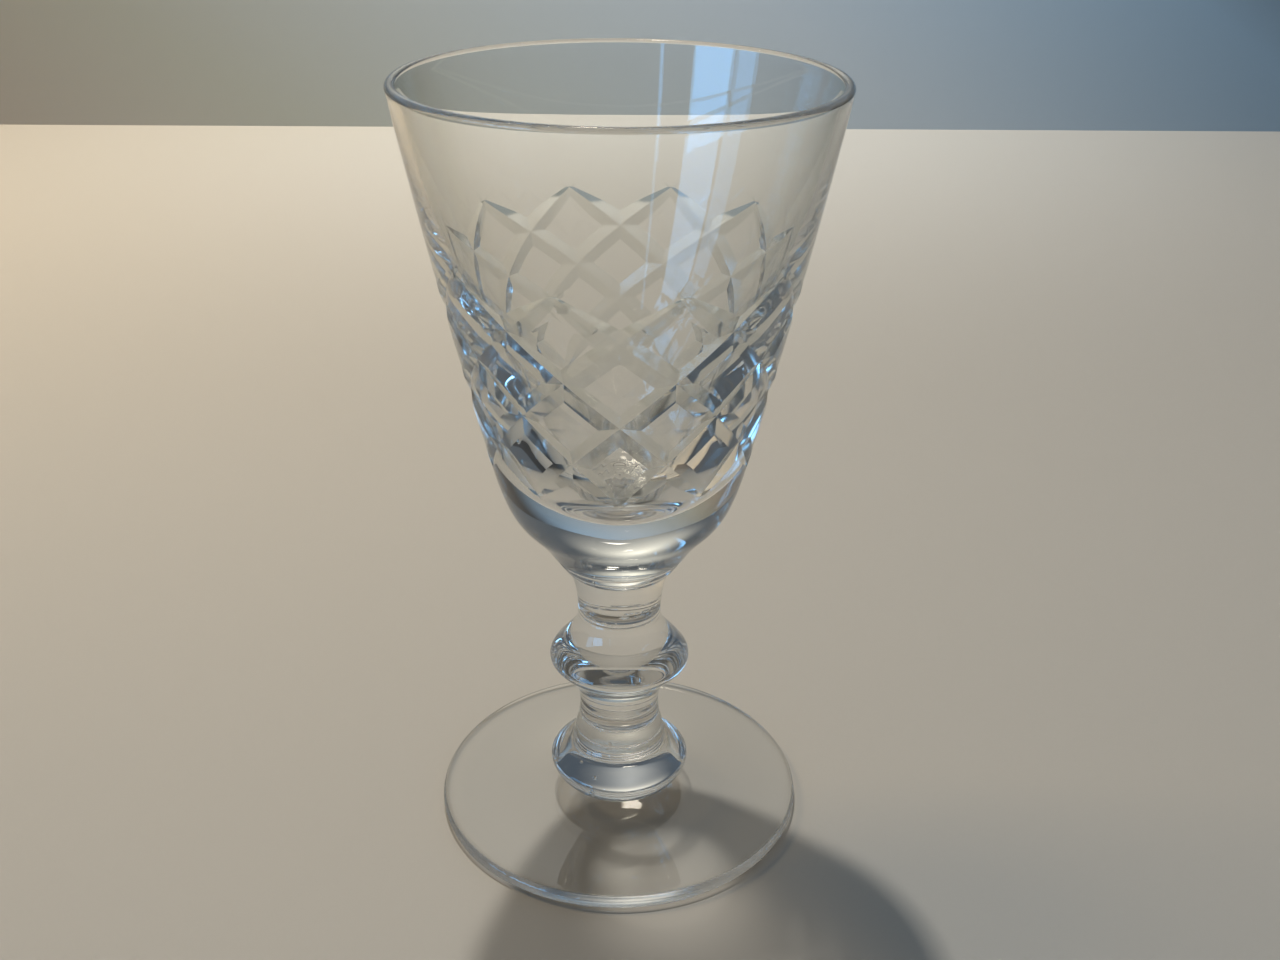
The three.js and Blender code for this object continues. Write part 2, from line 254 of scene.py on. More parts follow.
def add_piece(name, points, faces, sharp_degrees, body):
    """A mesh object of a body of glass, smooth up to an angle.

    Its faces come in groups of corner numbers, each group with the place of its material or one per face.
    """
    mesh = bpy.data.meshes.new(name)
    corner_lists = [corners for group, _ in faces for corners in group.tolist()]
    mesh.from_pydata(points.reshape(-1, 3).tolist(), [], corner_lists)
    slots = np.concatenate([np.broadcast_to(slot, len(group)) for group, slot in faces]).astype(np.int32)
    mesh.polygons.foreach_set("material_index", slots)
    mesh.polygons.foreach_set("use_smooth", np.ones(len(slots), bool))
    for glass in (body, hot_seam, worn_glass, cut_glass):
        mesh.materials.append(glass())
    mesh.set_sharp_from_angle(angle=math.radians(sharp_degrees))
    mesh.update()
    piece = bpy.data.objects.new(name, mesh)
    bpy.context.collection.objects.link(piece)
    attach(piece, "root")
    return piece


def turned_mesh(profile, columns):
    """Points and faces (side, low end, high end) of a profile from axis to axis that is turned about Z."""
    rows = profile[1:-1]
    poles = [[0, 0, profile[0, 1]], [0, 0, profile[-1, 1]]]
    points = np.concatenate([ring_points(rows, columns).reshape(-1, 3), poles])
    low_end = fan(len(points) - 2, 0, columns, False)
    high_end = fan(len(points) - 1, len(rows) - 1, columns, True)
    return points, band_quads(0, len(rows) - 1, columns), low_end, high_end


# Steps that scatter the seed bubbles without a pattern: the golden angle, the golden ratio and two like it.
SEED_TURN, SEED_RISE, SEED_OUT, SEED_GROWTH = 2.399963, 0.618034, 0.754878, 0.569840
# The smallest bubble as a share of the largest, and the share of the area round the axis that has none.
SMALLEST_SEED, SEEDLESS_AREA = 0.4, 0.25


def with_seeds(points, faces, count, low, high, reach, radius, drawn=1.0):
    """The mesh with round voids in it: seed bubbles between two heights, out to a radius.

    Bubble k lies at the golden angle times k, and its place and size run through 0 to 1 by the fractional
    parts of k times three irrational steps. A drawn bubble is longer round the axis by that factor and
    flatter by its root. Its faces look into the void.
    """
    ball, side, low_end, high_end = turned_mesh(arc((0, 0), 1, -90, 90, SEED_STEPS), SEED_COLUMNS)
    points, faces = [points], list(faces)
    for k in range(1, count + 1):
        rise, out, grow = ((k * step) % 1 for step in (SEED_RISE, SEED_OUT, SEED_GROWTH))
        turn = k * SEED_TURN
        outward = np.array([math.sin(turn), -math.cos(turn), 0])
        along = np.array([math.cos(turn), math.sin(turn), 0])
        axes = np.stack([along * drawn, outward, np.array([0, 0, drawn**-0.5])])
        away = reach * math.sqrt(SEEDLESS_AREA + (1 - SEEDLESS_AREA) * out)
        bubble = ball @ axes * radius * (SMALLEST_SEED + (1 - SMALLEST_SEED) * grow)
        first = sum(len(part) for part in points)
        points.append(bubble + outward * away + (0, 0, low + (high - low) * rise))
        faces += [(part[:, ::-1] + first, CLEAR) for part in (side, low_end, high_end)]
    return np.concatenate(points), faces


def add_turned(node, profile, columns, seam_below, body, seeds=None):
    """A turned gather: the profile runs from the axis to the axis, and its end discs are seams or clear.

    Seeds, where given, are what with_seeds takes: how many bubbles, and where.
    """
    points, side, low_end, high_end = turned_mesh(profile, columns)
    heights = profile[1:-1, 1]
    standing = (heights[:-1] < ON_FLOOR) & (heights[1:] < ON_FLOOR)
    faces = [
        (side, np.repeat(np.where(standing, WORN, CLEAR), columns)),
        (low_end, SEAM if seam_below else CLEAR),
        (high_end, SEAM),
    ]
    if seeds:
        points, faces = with_seeds(points, faces, **seeds)
    piece = add_piece(node + "_glass", points, faces, TURNED_SHARP, body)
    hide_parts(node)
    return piece


def add(tree, kind, inputs=None, **settings):
    """A node of a kind, with its settings, and its inputs set to values or linked to other nodes' outputs."""
    node = tree.nodes.new(kind)
    for name, value in settings.items():
        setattr(node, name, value)
    for name, value in (inputs or {}).items():
        if isinstance(value, bpy.types.NodeSocket):
            tree.links.new(value, node.inputs[name])
        else:
            node.inputs[name].default_value = value
    return node


def per_mm(millimetres):
    """The scale of a texture in object space whose features are some millimetres wide."""
    return 1 / (millimetres * MM)


def fresh_material(name):
    """A new material with its empty tree and its output node, or the one already made and None twice."""
    if name in bpy.data.materials:
        return bpy.data.materials[name], None, None
    material = bpy.data.materials.new(name)
    material.use_nodes = True
    material.node_tree.nodes.clear()
    return material, material.node_tree, add(material.node_tree, "ShaderNodeOutputMaterial")


# Soda-lime glass: its index of refraction, its colour as blown and as cut, and the grey of painted shade at a
# slant, which stands in for the darker room mirrored near the glass's outline.
GLASS_IOR = 1.52
GLASS_TINT, CUT_TINT, SLANT_SHADE_GREY = "#fdfefe", "#e9ecea", "#a4aba6"
# Roughness of the glass as blown, of polished cuts and of worn edges, and what a dried smear adds to it.
AS_BLOWN, POLISHED, DULLED, SMEAR = 0.0, 0.08, 0.12, 0.07
# How soon a surface at a slant holds back the lamps' light.
SHADOW_POWER = 1.8


def foot_glass():
    """Soda-lime glass, pressed flat and fire-polished: clear, bright at grazing angles and faintly wavy, with
    a little painted grey shade where it is seen at a slant.
    """
    return glass_material("fire_polished_glass", AS_BLOWN, GLASS_TINT, slant_shade_power=3.5, shadow_loss=2.0)


def stem_glass():
    """The solid stem, of the same glass: it gathers the lamps' light like a lens, so its shadow is faint."""
    return glass_material("solid_stem_glass", AS_BLOWN, GLASS_TINT, slant_shade_power=3.5, shadow_loss=0.7)


def bowl_glass():
    """The blown bowl, painted greyer towards its outline than the stem: painted shade that stands in for the
    darker room it mirrors there.
    """
    return glass_material("slant_shaded_bowl_glass", AS_BLOWN, GLASS_TINT, slant_shade_power=1.8, shadow_loss=2.7)


def worn_glass():
    """The foot's standing ring and the rim, dulled by use: they scatter light, so no edge looks black."""
    return glass_material("worn_edge_glass", DULLED, GLASS_TINT, slant_shade_power=3.5, shadow_loss=2.0)


def cut_glass():
    """The mitre cuts, wheel-ground and polished: softer and greyer to look through than blown glass, and
    painted greyer still towards the outline, as painted shade.
    """
    return glass_material("polished_cut_glass", POLISHED, CUT_TINT, slant_shade_power=1.8, shadow_loss=2.7)


def glass_material(name, roughness, hex_colour, slant_shade_power, shadow_loss):
    """Clear glass of a given roughness and tint that lets the lamps' light through to the floor.

    Seen at a slant it is painted greyer, a painted shade that stands in for the darker room mirrored near the
    outline, the sooner the lower the slant shade's power is.
    Wide soft waves left by the blowing bend what shows through by a hair, and dried smears dull it here and
    there.
    """
    material, tree, output = fresh_material(name)
    if tree is None:
        return material
    facing = add(tree, "ShaderNodeLayerWeight", {"Blend": 0.5}).outputs["Facing"]
    # Painted shade: the glass's colour turns to a grey the more the surface is seen at a slant.
    slant = add(tree, "ShaderNodeMath", {0: facing, 1: slant_shade_power}, operation="POWER")
    body = add(
        tree,
        "ShaderNodeMix",
        {"Factor": slant.outputs[0], "A": (*linear(hex_colour), 1), "B": (*linear(SLANT_SHADE_GREY), 1)},
        data_type="RGBA",
    )
    place = add(tree, "ShaderNodeTexCoord").outputs["Object"]
    waves = add(tree, "ShaderNodeTexNoise", {"Vector": place, "Scale": per_mm(9), "Detail": 1.0})
    bend = add(
        tree,
        "ShaderNodeBump",
        {"Height": waves.outputs["Fac"], "Strength": 0.25, "Distance": 0.02 * MM},
    )
    smears = add(
        tree,
        "ShaderNodeTexNoise",
        {"Vector": place, "Scale": per_mm(7), "Detail": 5.0, "Roughness": 0.7},
    )
    dull = add(
        tree,
        "ShaderNodeMapRange",
        {
            "Value": smears.outputs["Fac"],
            "From Min": 0.56,
            "From Max": 0.8,
            "To Min": roughness,
            "To Max": roughness + SMEAR,
        },
    )
    glass = add(
        tree,
        "ShaderNodeBsdfPrincipled",
        {
            "Base Color": body.outputs[2],
            "Roughness": dull.outputs[0],
            "IOR": GLASS_IOR,
            "Transmission Weight": 1.0,
            "Normal": bend.outputs[0],
        },
    )
    steep = add(tree, "ShaderNodeMath", {0: facing, 1: SHADOW_POWER}, operation="POWER")
    lost = add(
        tree, "ShaderNodeMath", {0: steep.outputs[0], 1: shadow_loss}, operation="MULTIPLY", use_clamp=True
    )
    shade = add(
        tree,
        "ShaderNodeMix",
        {"Factor": lost.outputs[0], "A": (1, 1, 1, 1), "B": (0, 0, 0, 1)},
        data_type="RGBA",
    )
    lamp_light = add(tree, "ShaderNodeBsdfTransparent", {"Color": shade.outputs[2]})
    shadow_ray = add(tree, "ShaderNodeLightPath").outputs["Is Shadow Ray"]
    both = add(tree, "ShaderNodeMixShader", {0: shadow_ray, 1: glass.outputs[0], 2: lamp_light.outputs[0]})
    tree.links.new(both.outputs[0], output.inputs["Surface"])
    return material


def hot_seam():
    """The fused joint of two hot gathers: one body of glass, so light goes straight through."""
    material, tree, output = fresh_material("fused_seam")
    if tree is None:
        return material
    through = add(tree, "ShaderNodeBsdfTransparent", {"Color": (1, 1, 1, 1)})
    tree.links.new(through.outputs[0], output.inputs["Surface"])
    return material


class GLASS_OT_foot(bpy.types.Operator):
    """Make the foot: a disc on a flat ring, hollow underneath, that rises to the stem"""

    bl_idname = "glass.foot"
    bl_label = "Foot"

    def execute(self, context):
        size = context.scene.glass_stem
        edge, top = WIDEST["foot"], TOP_Z["foot"]
        ring_outer = edge - size.foot_round
        ring_inner = ring_outer - size.rest_ring
        hollow = bezier(
            (0, size.foot_hollow), (ring_inner / 2, size.foot_hollow),
            (ring_inner * 2 / 3, 0), (ring_inner, 0), HOLLOW_STEPS,
        )
        low_round = bezier(
            (ring_outer, 0), (ring_outer + QUARTER_HANDLE * size.foot_round, 0),
            (edge, size.foot_round * (1 - QUARTER_HANDLE)), (edge, size.foot_round), ROUND_STEPS,
        )
        rise = size.foot_edge - size.foot_round
        high_round = bezier(
            (edge, size.foot_round), (edge, size.foot_round + QUARTER_HANDLE * rise),
            (ring_outer + QUARTER_HANDLE * size.foot_round, size.foot_edge), (ring_outer, size.foot_edge),
            ROUND_STEPS,
        )
        inward = (ring_outer - 2 * size.foot_seam) * 2 / 3
        upper = bezier(
            (ring_outer, size.foot_edge), (ring_outer - inward, size.foot_edge),
            (size.foot_seam * 5 / 3, size.foot_edge + (top - size.foot_edge) / 3), (size.foot_seam, top),
            FOOT_TOP_STEPS,
        )
        profile = outline(hollow, low_round, high_round, upper, (0, top))
        add_turned("foot", profile, FOOT_COLUMNS, False, foot_glass)
        return {"FINISHED"}


class GLASS_OT_stem(bpy.types.Operator):
    """Make the two knops, the two necks and the collar of the stem"""

    bl_idname = "glass.stem"
    bl_label = "Stem"

    def execute(self, context):
        size = context.scene.glass_stem
        columns, steps = STEM_COLUMNS, STEM_STEPS
        marks = size.mark_first + np.arange(size.marks) * size.mark_pitch
        creases = [TOP_Z["ring_knop"], TOP_Z["ring_knop"] + size.crease_pitch]
        rings = SEAM_Z["collar"] + np.arange(size.rings) * size.ring_pitch

        low, high, wide = SEAM_Z["base_knop"], TOP_Z["base_knop"], WIDEST["base_knop"]
        edge = low + size.base_edge
        under = bezier(
            (size.foot_seam, low), ((size.foot_seam + wide) / 2, low + size.base_undercut),
            (wide, edge - size.base_round), (wide, edge), steps,
        )
        over = bezier(
            (wide, edge), (wide, edge + size.base_round),
            (size.base_seam, high - size.base_sweep), (size.base_seam, high), 3 * steps,
        )
        over = ringed(over, marks, size.mark_depth, size.mark_width)
        seeds = {
            "count": 11,
            "low": low + 0.15 * (high - low),
            "high": high - 0.1 * (high - low),
            "reach": size.base_seam,
            "radius": 1.2 * size.seed_radius,
        }
        add_turned("base_knop", outline((0, low), under, over, (0, high)), columns, True, stem_glass, seeds)

        low, high = SEAM_Z["lower_neck"], TOP_Z["lower_neck"]
        waist = bezier(
            (size.base_seam, low), (size.base_seam, low + (high - low) / 3),
            (size.lower_seam, low + (high - low) / 3), (size.lower_seam, high), 2 * steps,
        )
        waist = ringed(waist, marks, size.mark_depth, size.mark_width)
        add_turned("lower_neck", outline((0, low), waist, (0, high)), columns, True, stem_glass)

        low, high, wide = SEAM_Z["ring_knop"], TOP_Z["ring_knop"], WIDEST["ring_knop"]
        edge = low + size.ring_edge
        under = bezier(
            (size.lower_seam, low), (size.lower_seam, low + size.ring_lower_sweep),
            (wide, edge - size.ring_round), (wide, edge), 3 * steps,
        )
        under = ringed(under, marks, size.mark_depth, size.mark_width)
        over = bezier(
            (wide, edge), (wide, edge + size.ring_round),
            (size.ring_seam, high - size.ring_upper_sweep), (size.ring_seam, high), 2 * steps,
        )
        over = ringed(over, creases, size.crease_depth, size.crease_width)
        add_turned("ring_knop", outline((0, low), under, over, (0, high)), columns, True, stem_glass)

        low, high = SEAM_Z["upper_neck"], TOP_Z["upper_neck"]
        waist = bezier(
            (size.ring_seam, low), (size.ring_seam, low + size.neck_upright),
            ((size.ring_seam + size.upper_seam) / 2, low + size.neck_flare), (size.upper_seam, high),
            2 * steps,
        )
        waist = ringed(waist, creases, size.crease_depth, size.crease_width)
        waist = ringed(waist, rings, size.ring_depth, size.ring_width)
        seeds = {
            "count": 34,
            "low": low + 0.04 * (high - low),
            "high": low + 0.26 * (high - low),
            "reach": 0.92 * size.ring_seam,
            "radius": 1.3 * size.seed_radius,
            "drawn": 2.2,
        }
        add_turned("upper_neck", outline((0, low), waist, (0, high)), columns, True, stem_glass, seeds)

        low, high, wide = SEAM_Z["collar"], TOP_Z["collar"], WIDEST["collar"]
        cup = bezier(
            (size.upper_seam, low), (size.upper_seam + size.collar_swell, low + size.collar_swell_rise),
            (wide - size.collar_lip, high - size.collar_lip_drop), (wide, high), 2 * steps,
        )
        cup = ringed(cup, rings, size.ring_depth, size.ring_width)
        seeds = {
            "count": 14,
            "low": low + 0.1 * (high - low),
            "high": high - 0.1 * (high - low),
            "reach": 0.9 * size.upper_seam,
            "radius": size.seed_radius,
        }
        add_turned("collar", outline((0, low), cup, (0, high)), columns, True, stem_glass, seeds)
        return {"FINISHED"}


# Cells of the lattice across half a diamond, and the share of the cuts' spacing at which a cut's edge falls.
LATTICE_DIVISIONS = 8
CREASE = 0.125
# The thinnest cut as a share of that spacing, and how far the polish softened the cuts' tops.
THINNEST_CUT = 0.01
TOP_SOFTNESS = 0.3
# Rows of the smooth wall that are nearer to the lattice than this are left out.
LATTICE_GAP = 0.1 * MM
# Middles of a cell's four triangles, below, right, above and left, in cells from its lower left corner.
QUARTER_MIDDLES = np.array([(0.5, 1 / 6), (5 / 6, 0.5), (0.5, 5 / 6), (1 / 6, 0.5)])


def cut_lattice(size, wall_z, wall_r, columns):
    """Points of the cut wall, as rows of grid points and as the middles of the cells between them.

    Also tells for each quarter of a cell whether it lies in a cut.

    In steps of half a diamond, a counts round the bowl and b up from the lowest crossings. Cuts lie where
    p = (a + b) / 2 or q = (a - b) / 2 is a whole number. The distance to the nearest cut, as a share of the
    spacing, is squeezed so that the share CREASE always falls on the cut's edge, then the depth falls in a
    straight line from the cut's middle to that edge. Width and depth shrink together towards a cut's ends.
    At the top, where the polish softened it, the depth shrinks once more, by that share to the power
    TOP_SOFTNESS. Cells, their diagonals and their middles lie on every crease of the lattice.
    """
    fine = LATTICE_DIVISIONS
    half_turn = math.pi / size.cuts
    low_row, high_row = -1, size.rows + 1
    a_nodes, b_nodes = np.arange(columns) / fine, np.arange(low_row * fine, high_row * fine + 1) / fine
    a_mid, b_mid = a_nodes + 0.5 / fine, b_nodes[:-1] + 0.5 / fine
    base = SEAM_Z["bowl"] + size.lattice_rise
    over_run = size.overrun / size.row_height

    def place(a, b):
        a, b = np.meshgrid(a, b)
        radius = np.interp(base + b * size.row_height, wall_z, wall_r)
        to_top = size.rows + over_run - b
        to_end = np.minimum(b + over_run, to_top)
        share, top_share = (
            1 - np.clip(1 - run * size.row_height / size.runout, 0, 1) ** 2 for run in (to_end, to_top)
        )
        side = half_turn * radius
        spacing = 2 * side * size.row_height / np.hypot(side, size.row_height)
        edge = np.maximum(size.groove_width / 2 / spacing * share, THINNEST_CUT)
        outside = np.clip(np.maximum(-over_run - b, b - size.rows - over_run) / (1 - over_run), 0, 1)
        edge = edge + (CREASE - edge) * outside

        def squeeze(cut):
            nearest = np.round(cut)
            off = np.abs(cut - nearest)
            inner = off * edge / CREASE
            outer = edge + (off - CREASE) * (0.5 - edge) / (0.5 - CREASE)
            return nearest + np.sign(cut - nearest) * np.where(off <= CREASE, inner, outer), off

        p, p_off = squeeze((a + b) / 2)
        q, q_off = squeeze((a - b) / 2)
        full_depth = size.groove_depth * share * top_share**TOP_SOFTNESS
        depth = full_depth * np.clip(1 - np.minimum(p_off, q_off) / CREASE, 0, 1)
        angle, height = (p + q) * half_turn, base + (p - q) * size.row_height
        radius = np.interp(height, wall_z, wall_r)
        slope = np.interp(height, wall_z, np.gradient(wall_r, wall_z))
        lean = np.hypot(1, slope)
        radius, height = radius - depth / lean, height + depth * slope / lean
        return np.stack([radius * np.sin(angle), -radius * np.cos(angle), height], axis=2)

    a, b = np.meshgrid(a_nodes, b_nodes[:-1])
    quarter = QUARTER_MIDDLES / fine
    a, b = a[..., None] + quarter[:, 0], b[..., None] + quarter[:, 1]
    off = [np.abs(cut - np.round(cut)) for cut in ((a + b) / 2, (a - b) / 2)]
    cut_faces = (np.minimum(*off) < CREASE) & (b > -over_run) & (b < size.rows + over_run)
    return place(a_nodes, b_nodes), place(a_mid, b_mid), cut_faces.ravel()


def bowl_outside(size, lip_z):
    """Profile of the bowl's outside, from its seam up to a height at the rim.

    A cubic curve gives the round bottom. The wall over it is a cone, plus a bulge that follows the parabola
    4 s (1 - s) of the share s of its height.
    """
    low, wide = SEAM_Z["bowl"], WIDEST["bowl"]
    bottom = WIDEST["collar"] + size.step
    shoulder_z = low + size.shoulder_rise
    slope = (wide - size.shoulder_radius + 4 * size.bulge) / (lip_z - shoulder_z)
    fall = size.shoulder_ease
    belly = bezier(
        (bottom, low), (bottom + size.belly_out, low + size.belly_up),
        (size.shoulder_radius - slope * fall, shoulder_z - fall), (size.shoulder_radius, shoulder_z),
        BELLY_STEPS,
    )
    wall_z = np.linspace(shoulder_z, lip_z, WALL_STEPS + 1)
    along = (wall_z - shoulder_z) / (lip_z - shoulder_z)
    cone_r = size.shoulder_radius + (wide - size.shoulder_radius) * along
    wall_r = cone_r + 4 * size.bulge * along * (1 - along)
    return outline(belly, np.stack([wall_r, wall_z], axis=1))


def bowl_inside(size, lip_z, outside):
    """Profile of the bowl's hollow, from a height at the rim down to the axis.

    Its wall is the outside less a thickness, which is the rim's and below a certain height grows in a
    straight line, blended in by log(1 + exp(depth / blend)). A cubic curve gives the well. Ripples in the
    well's floor follow a cosine of the radius that dies out.
    """
    low = SEAM_Z["bowl"]
    floor_z, well_z = low + size.bottom, low + size.well_rise
    wall_z = np.linspace(lip_z, well_z, WALL_STEPS)
    growth = (size.shoulder_wall - size.rim_wall) / (size.thick_rise - size.shoulder_rise)
    swell = np.log1p(np.exp((low + size.thick_rise - wall_z) / size.thick_blend))
    thickness = size.rim_wall + growth * size.thick_blend * (swell - swell[0])
    wall_r = np.interp(wall_z, outside[:, 1], outside[:, 0]) - thickness
    wall = np.stack([wall_r, wall_z], axis=1)
    lean = wall[-1] - wall[-2]
    drop = lean * size.well_ease / -lean[1]
    well = bezier(wall[-1], wall[-1] + drop, (size.well_flat, floor_z), (0, floor_z), WELL_STEPS)
    fade = 0.5 + 0.5 * np.cos(math.pi * np.minimum(well[:, 0] / size.ripple_reach, 1))
    well[:, 1] += size.ripple * fade * np.cos(2 * math.pi * well[:, 0] / size.ripple_pitch)
    return outline(wall, well)


class GLASS_OT_bowl(bpy.types.Operator):
    """Make the bowl: round bottom, cut wall, rounded rim and the hollow for the drink"""

    bl_idname = "glass.bowl"
    bl_label = "Bowl"

    def execute(self, context):
        size = context.scene.glass_bowl
        columns = 2 * size.cuts * LATTICE_DIVISIONS
        low, high, wide = SEAM_Z["bowl"], TOP_Z["bowl"], WIDEST["bowl"]
        lip = size.rim_wall / 2
        lip_z = high - lip
        outside = bowl_outside(size, lip_z)
        inside = bowl_inside(size, lip_z, outside)
        rim = arc((wide - lip, lip_z), lip, 0, 180, RIM_STEPS)
        lattice_low = low + size.lattice_rise - size.row_height
        lattice_high = low + size.lattice_rise + (size.rows + 1) * size.row_height
        below = outside[outside[:, 1] < lattice_low - LATTICE_GAP]
        above = outside[outside[:, 1] > lattice_high + LATTICE_GAP]
        under_rows = outline((WIDEST["collar"], low), below)
        upper_rows = outline(above, rim, inside[:-1])
        upper_slots = np.where(upper_rows[:, 1] > lip_z, WORN, CLEAR)

        nodes, middles, cut_faces = cut_lattice(size, outside[:, 1], outside[:, 0], columns)
        rows = [ring_points(under_rows, columns), nodes, ring_points(upper_rows, columns)]
        row_count = sum(len(part) for part in rows)
        poles = [[0, 0, low], [0, 0, inside[-1, 1]]]
        points = np.concatenate([part.reshape(-1, 3) for part in (*rows, middles)] + [poles])
        low_pole, high_pole = len(points) - 2, len(points) - 1
        first = len(under_rows)
        cells = band_quads(first, len(nodes) - 1, columns)
        centre = row_count * columns + np.arange(len(cells))
        sides = np.stack([cells, np.roll(cells, -1, axis=1)], axis=2)
        tips = np.broadcast_to(centre[:, None, None], (len(cells), 4, 1))
        quarters = np.concatenate([sides, tips], axis=2)
        faces = [
            (band_quads(0, first, columns), CLEAR),
            (quarters.reshape(-1, 3), np.where(cut_faces, CUT, CLEAR)),
            (band_quads(first + len(nodes) - 1, len(upper_rows), columns), np.repeat(upper_slots, columns)),
            (fan(low_pole, 0, columns, False), SEAM),
            (fan(high_pole, row_count - 1, columns, True), CLEAR),
        ]
        piece = add_piece("bowl_glass", points, faces, CUT_SHARP, bowl_glass)
        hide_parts("bowl")
        return {"FINISHED"}


# The camera's place, and its turns in degrees.
CAMERA_PLACE = (0.0, -144.66 * MM, 116.84 * MM)
CAMERA_PITCH, CAMERA_YAW, CAMERA_ROLL = 26.6, 0.93, 0.52
# The floor lies this much under the foot, so that their faces don't coincide, and reaches this far each way.
FLOOR_DROP = 0.04 * MM
FLOOR_REACH = 1.6
# The wall's colours run from the first of these values to the second, of x plus WALL_LEAN times the height.
# Painted light and shade on the wall: a painted pool of warm lamp light on the left, painted blue daylight
# shade and then painted dark shade on the right.
WALL_FROM, WALL_TO, WALL_LEAN = -0.28, 0.42, 1.5
# Panels face this point of the glass.
PANEL_AIM = Vector((0, 0, 0.06))
# Light is followed through this many faces of glass.
GLASS_BOUNCES = 32


def floor_paint(look):
    """The matt pale paint of the floor."""
    material, tree, output = fresh_material("matt_floor_paint")
    paint = add(tree, "ShaderNodeBsdfPrincipled", {"Base Color": (*look.floor, 1), "Roughness": 0.6})
    tree.links.new(paint.outputs[0], output.inputs["Surface"])
    return material


def wall_paint(look):
    """The matt paint of the wall, with painted light and shade graded on it: a painted pool of warm lamp
    light on the left, then painted blue daylight shade and painted dark shade on the right.
    """
    material, tree, output = fresh_material("matt_wall_paint_with_painted_light")
    place = add(tree, "ShaderNodeTexCoord").outputs["Object"]
    across = add(tree, "ShaderNodeVectorMath", {0: place, 1: (1, 0, WALL_LEAN)}, operation="DOT_PRODUCT")
    share = add(
        tree,
        "ShaderNodeMapRange",
        {"Value": across.outputs["Value"], "From Min": WALL_FROM, "From Max": WALL_TO},
    )
    # Painted light and shade: warm lamp light at the left, blue daylight shade and then dark shade to the
    # right.
    grade = add(tree, "ShaderNodeValToRGB", {"Fac": share.outputs[0]})
    stops = grade.color_ramp.elements
    stops[0].color, stops[1].color = (*look.wall_left, 1), (*look.wall_dark, 1)
    for position, colour in ((0.23, look.wall_warm), (0.57, look.wall_cool), (0.8, look.wall_right)):
        stops.new(position).color = (*colour, 1)
    paint = add(tree, "ShaderNodeBsdfPrincipled", {"Base Color": grade.outputs["Color"], "Roughness": 0.7})
    tree.links.new(paint.outputs[0], output.inputs["Surface"])
    return material


def before_paint(tree):
    """A value that is 1 until a path of light has met a matt surface, and 0 from there on."""
    depth = add(tree, "ShaderNodeLightPath").outputs["Diffuse Depth"]
    return add(tree, "ShaderNodeMath", {0: depth, 1: 0.5}, operation="LESS_THAN").outputs[0]


def add_lamp(name, place, target, size, watts, hex_colour, spread):
    """A square soft box that lights the stage from a place towards a target, and isn't itself seen."""
    lamp = bpy.data.lights.new(name, "AREA")
    lamp.shape, lamp.size, lamp.energy, lamp.color = "SQUARE", size, watts, linear(hex_colour)
    lamp.spread = math.radians(spread)
    box = bpy.data.objects.new(name, lamp)
    aim = (Vector(target) - Vector(place)).to_track_quat("-Z", "Y")
    box.matrix_world = Matrix.LocRotScale(Vector(place), aim, None)
    box.visible_camera = box.visible_glossy = box.visible_transmission = False
    bpy.context.collection.objects.link(box)


def add_panel(name, place, width, height, hex_colour, strength, soft=False, through=True):
    """A glowing panel that faces the glass, seen in the glass only, so it adds no light to the floor.

    A soft one fades out to nothing towards its edge, so that no outline of it shows in the glass. One that
    isn't seen through the glass only mirrors in its surfaces.
    """
    across, up = width / 2, height / 2
    mesh = bpy.data.meshes.new(name)
    corners = [(-across, -up, 0), (across, -up, 0), (across, up, 0), (-across, up, 0)]
    mesh.from_pydata(corners, [], [(0, 1, 2, 3)])
    material, tree, output = fresh_material(name + "_glow")
    level = add(tree, "ShaderNodeMath", {0: before_paint(tree), 1: strength}, operation="MULTIPLY")
    if soft:
        place_on_panel = add(tree, "ShaderNodeTexCoord").outputs["Generated"]
        middle = add(
            tree,
            "ShaderNodeMapping",
            {"Vector": place_on_panel, "Location": (-1, -1, 0), "Scale": (2, 2, 0)},
        )
        fade = add(
            tree, "ShaderNodeTexGradient", {"Vector": middle.outputs[0]}, gradient_type="QUADRATIC_SPHERE"
        )
        level = add(
            tree, "ShaderNodeMath", {0: level.outputs[0], 1: fade.outputs["Fac"]}, operation="MULTIPLY"
        )
    glow = add(tree, "ShaderNodeEmission", {"Color": (*linear(hex_colour), 1), "Strength": level.outputs[0]})
    if soft:
        clear = add(tree, "ShaderNodeBsdfTransparent")
        glow = add(tree, "ShaderNodeAddShader", {0: glow.outputs[0], 1: clear.outputs[0]})
    tree.links.new(glow.outputs[0], output.inputs["Surface"])
    material.cycles.emission_sampling = "NONE"
    mesh.materials.append(material)
    panel = bpy.data.objects.new(name, mesh)
    aim = (PANEL_AIM - Vector(place)).to_track_quat("Z", "Y")
    panel.matrix_world = Matrix.LocRotScale(Vector(place), aim, None)
    panel.visible_camera = panel.visible_shadow = panel.visible_diffuse = False
    panel.visible_transmission = through
    bpy.context.collection.objects.link(panel)


def add_ground(look):
    """The floor and the low wall behind the glass: one sheet with a fold, each half in its own paint."""
    wall_y = look.wall_distance
    side = outline((-FLOOR_REACH, 0), (wall_y, 0), (wall_y, look.wall_height)) - (0, FLOOR_DROP)
    ends = np.array([-FLOOR_REACH, FLOOR_REACH])
    points = np.stack(np.broadcast_arrays(ends[:, None], side[:, 0], side[:, 1]), axis=2)
    count = len(side)
    start = np.arange(count - 1)
    quads = np.stack([start, start + count, start + count + 1, start + 1], axis=1)
    mesh = bpy.data.meshes.new("sweep")
    mesh.from_pydata(points.reshape(-1, 3).tolist(), [], quads.tolist())
    mesh.materials.append(floor_paint(look))
    mesh.materials.append(wall_paint(look))
    mesh.polygons.foreach_set("material_index", np.arange(len(quads), dtype=np.int32))
    sweep = bpy.data.objects.new("sweep", mesh)
    bpy.context.collection.objects.link(sweep)


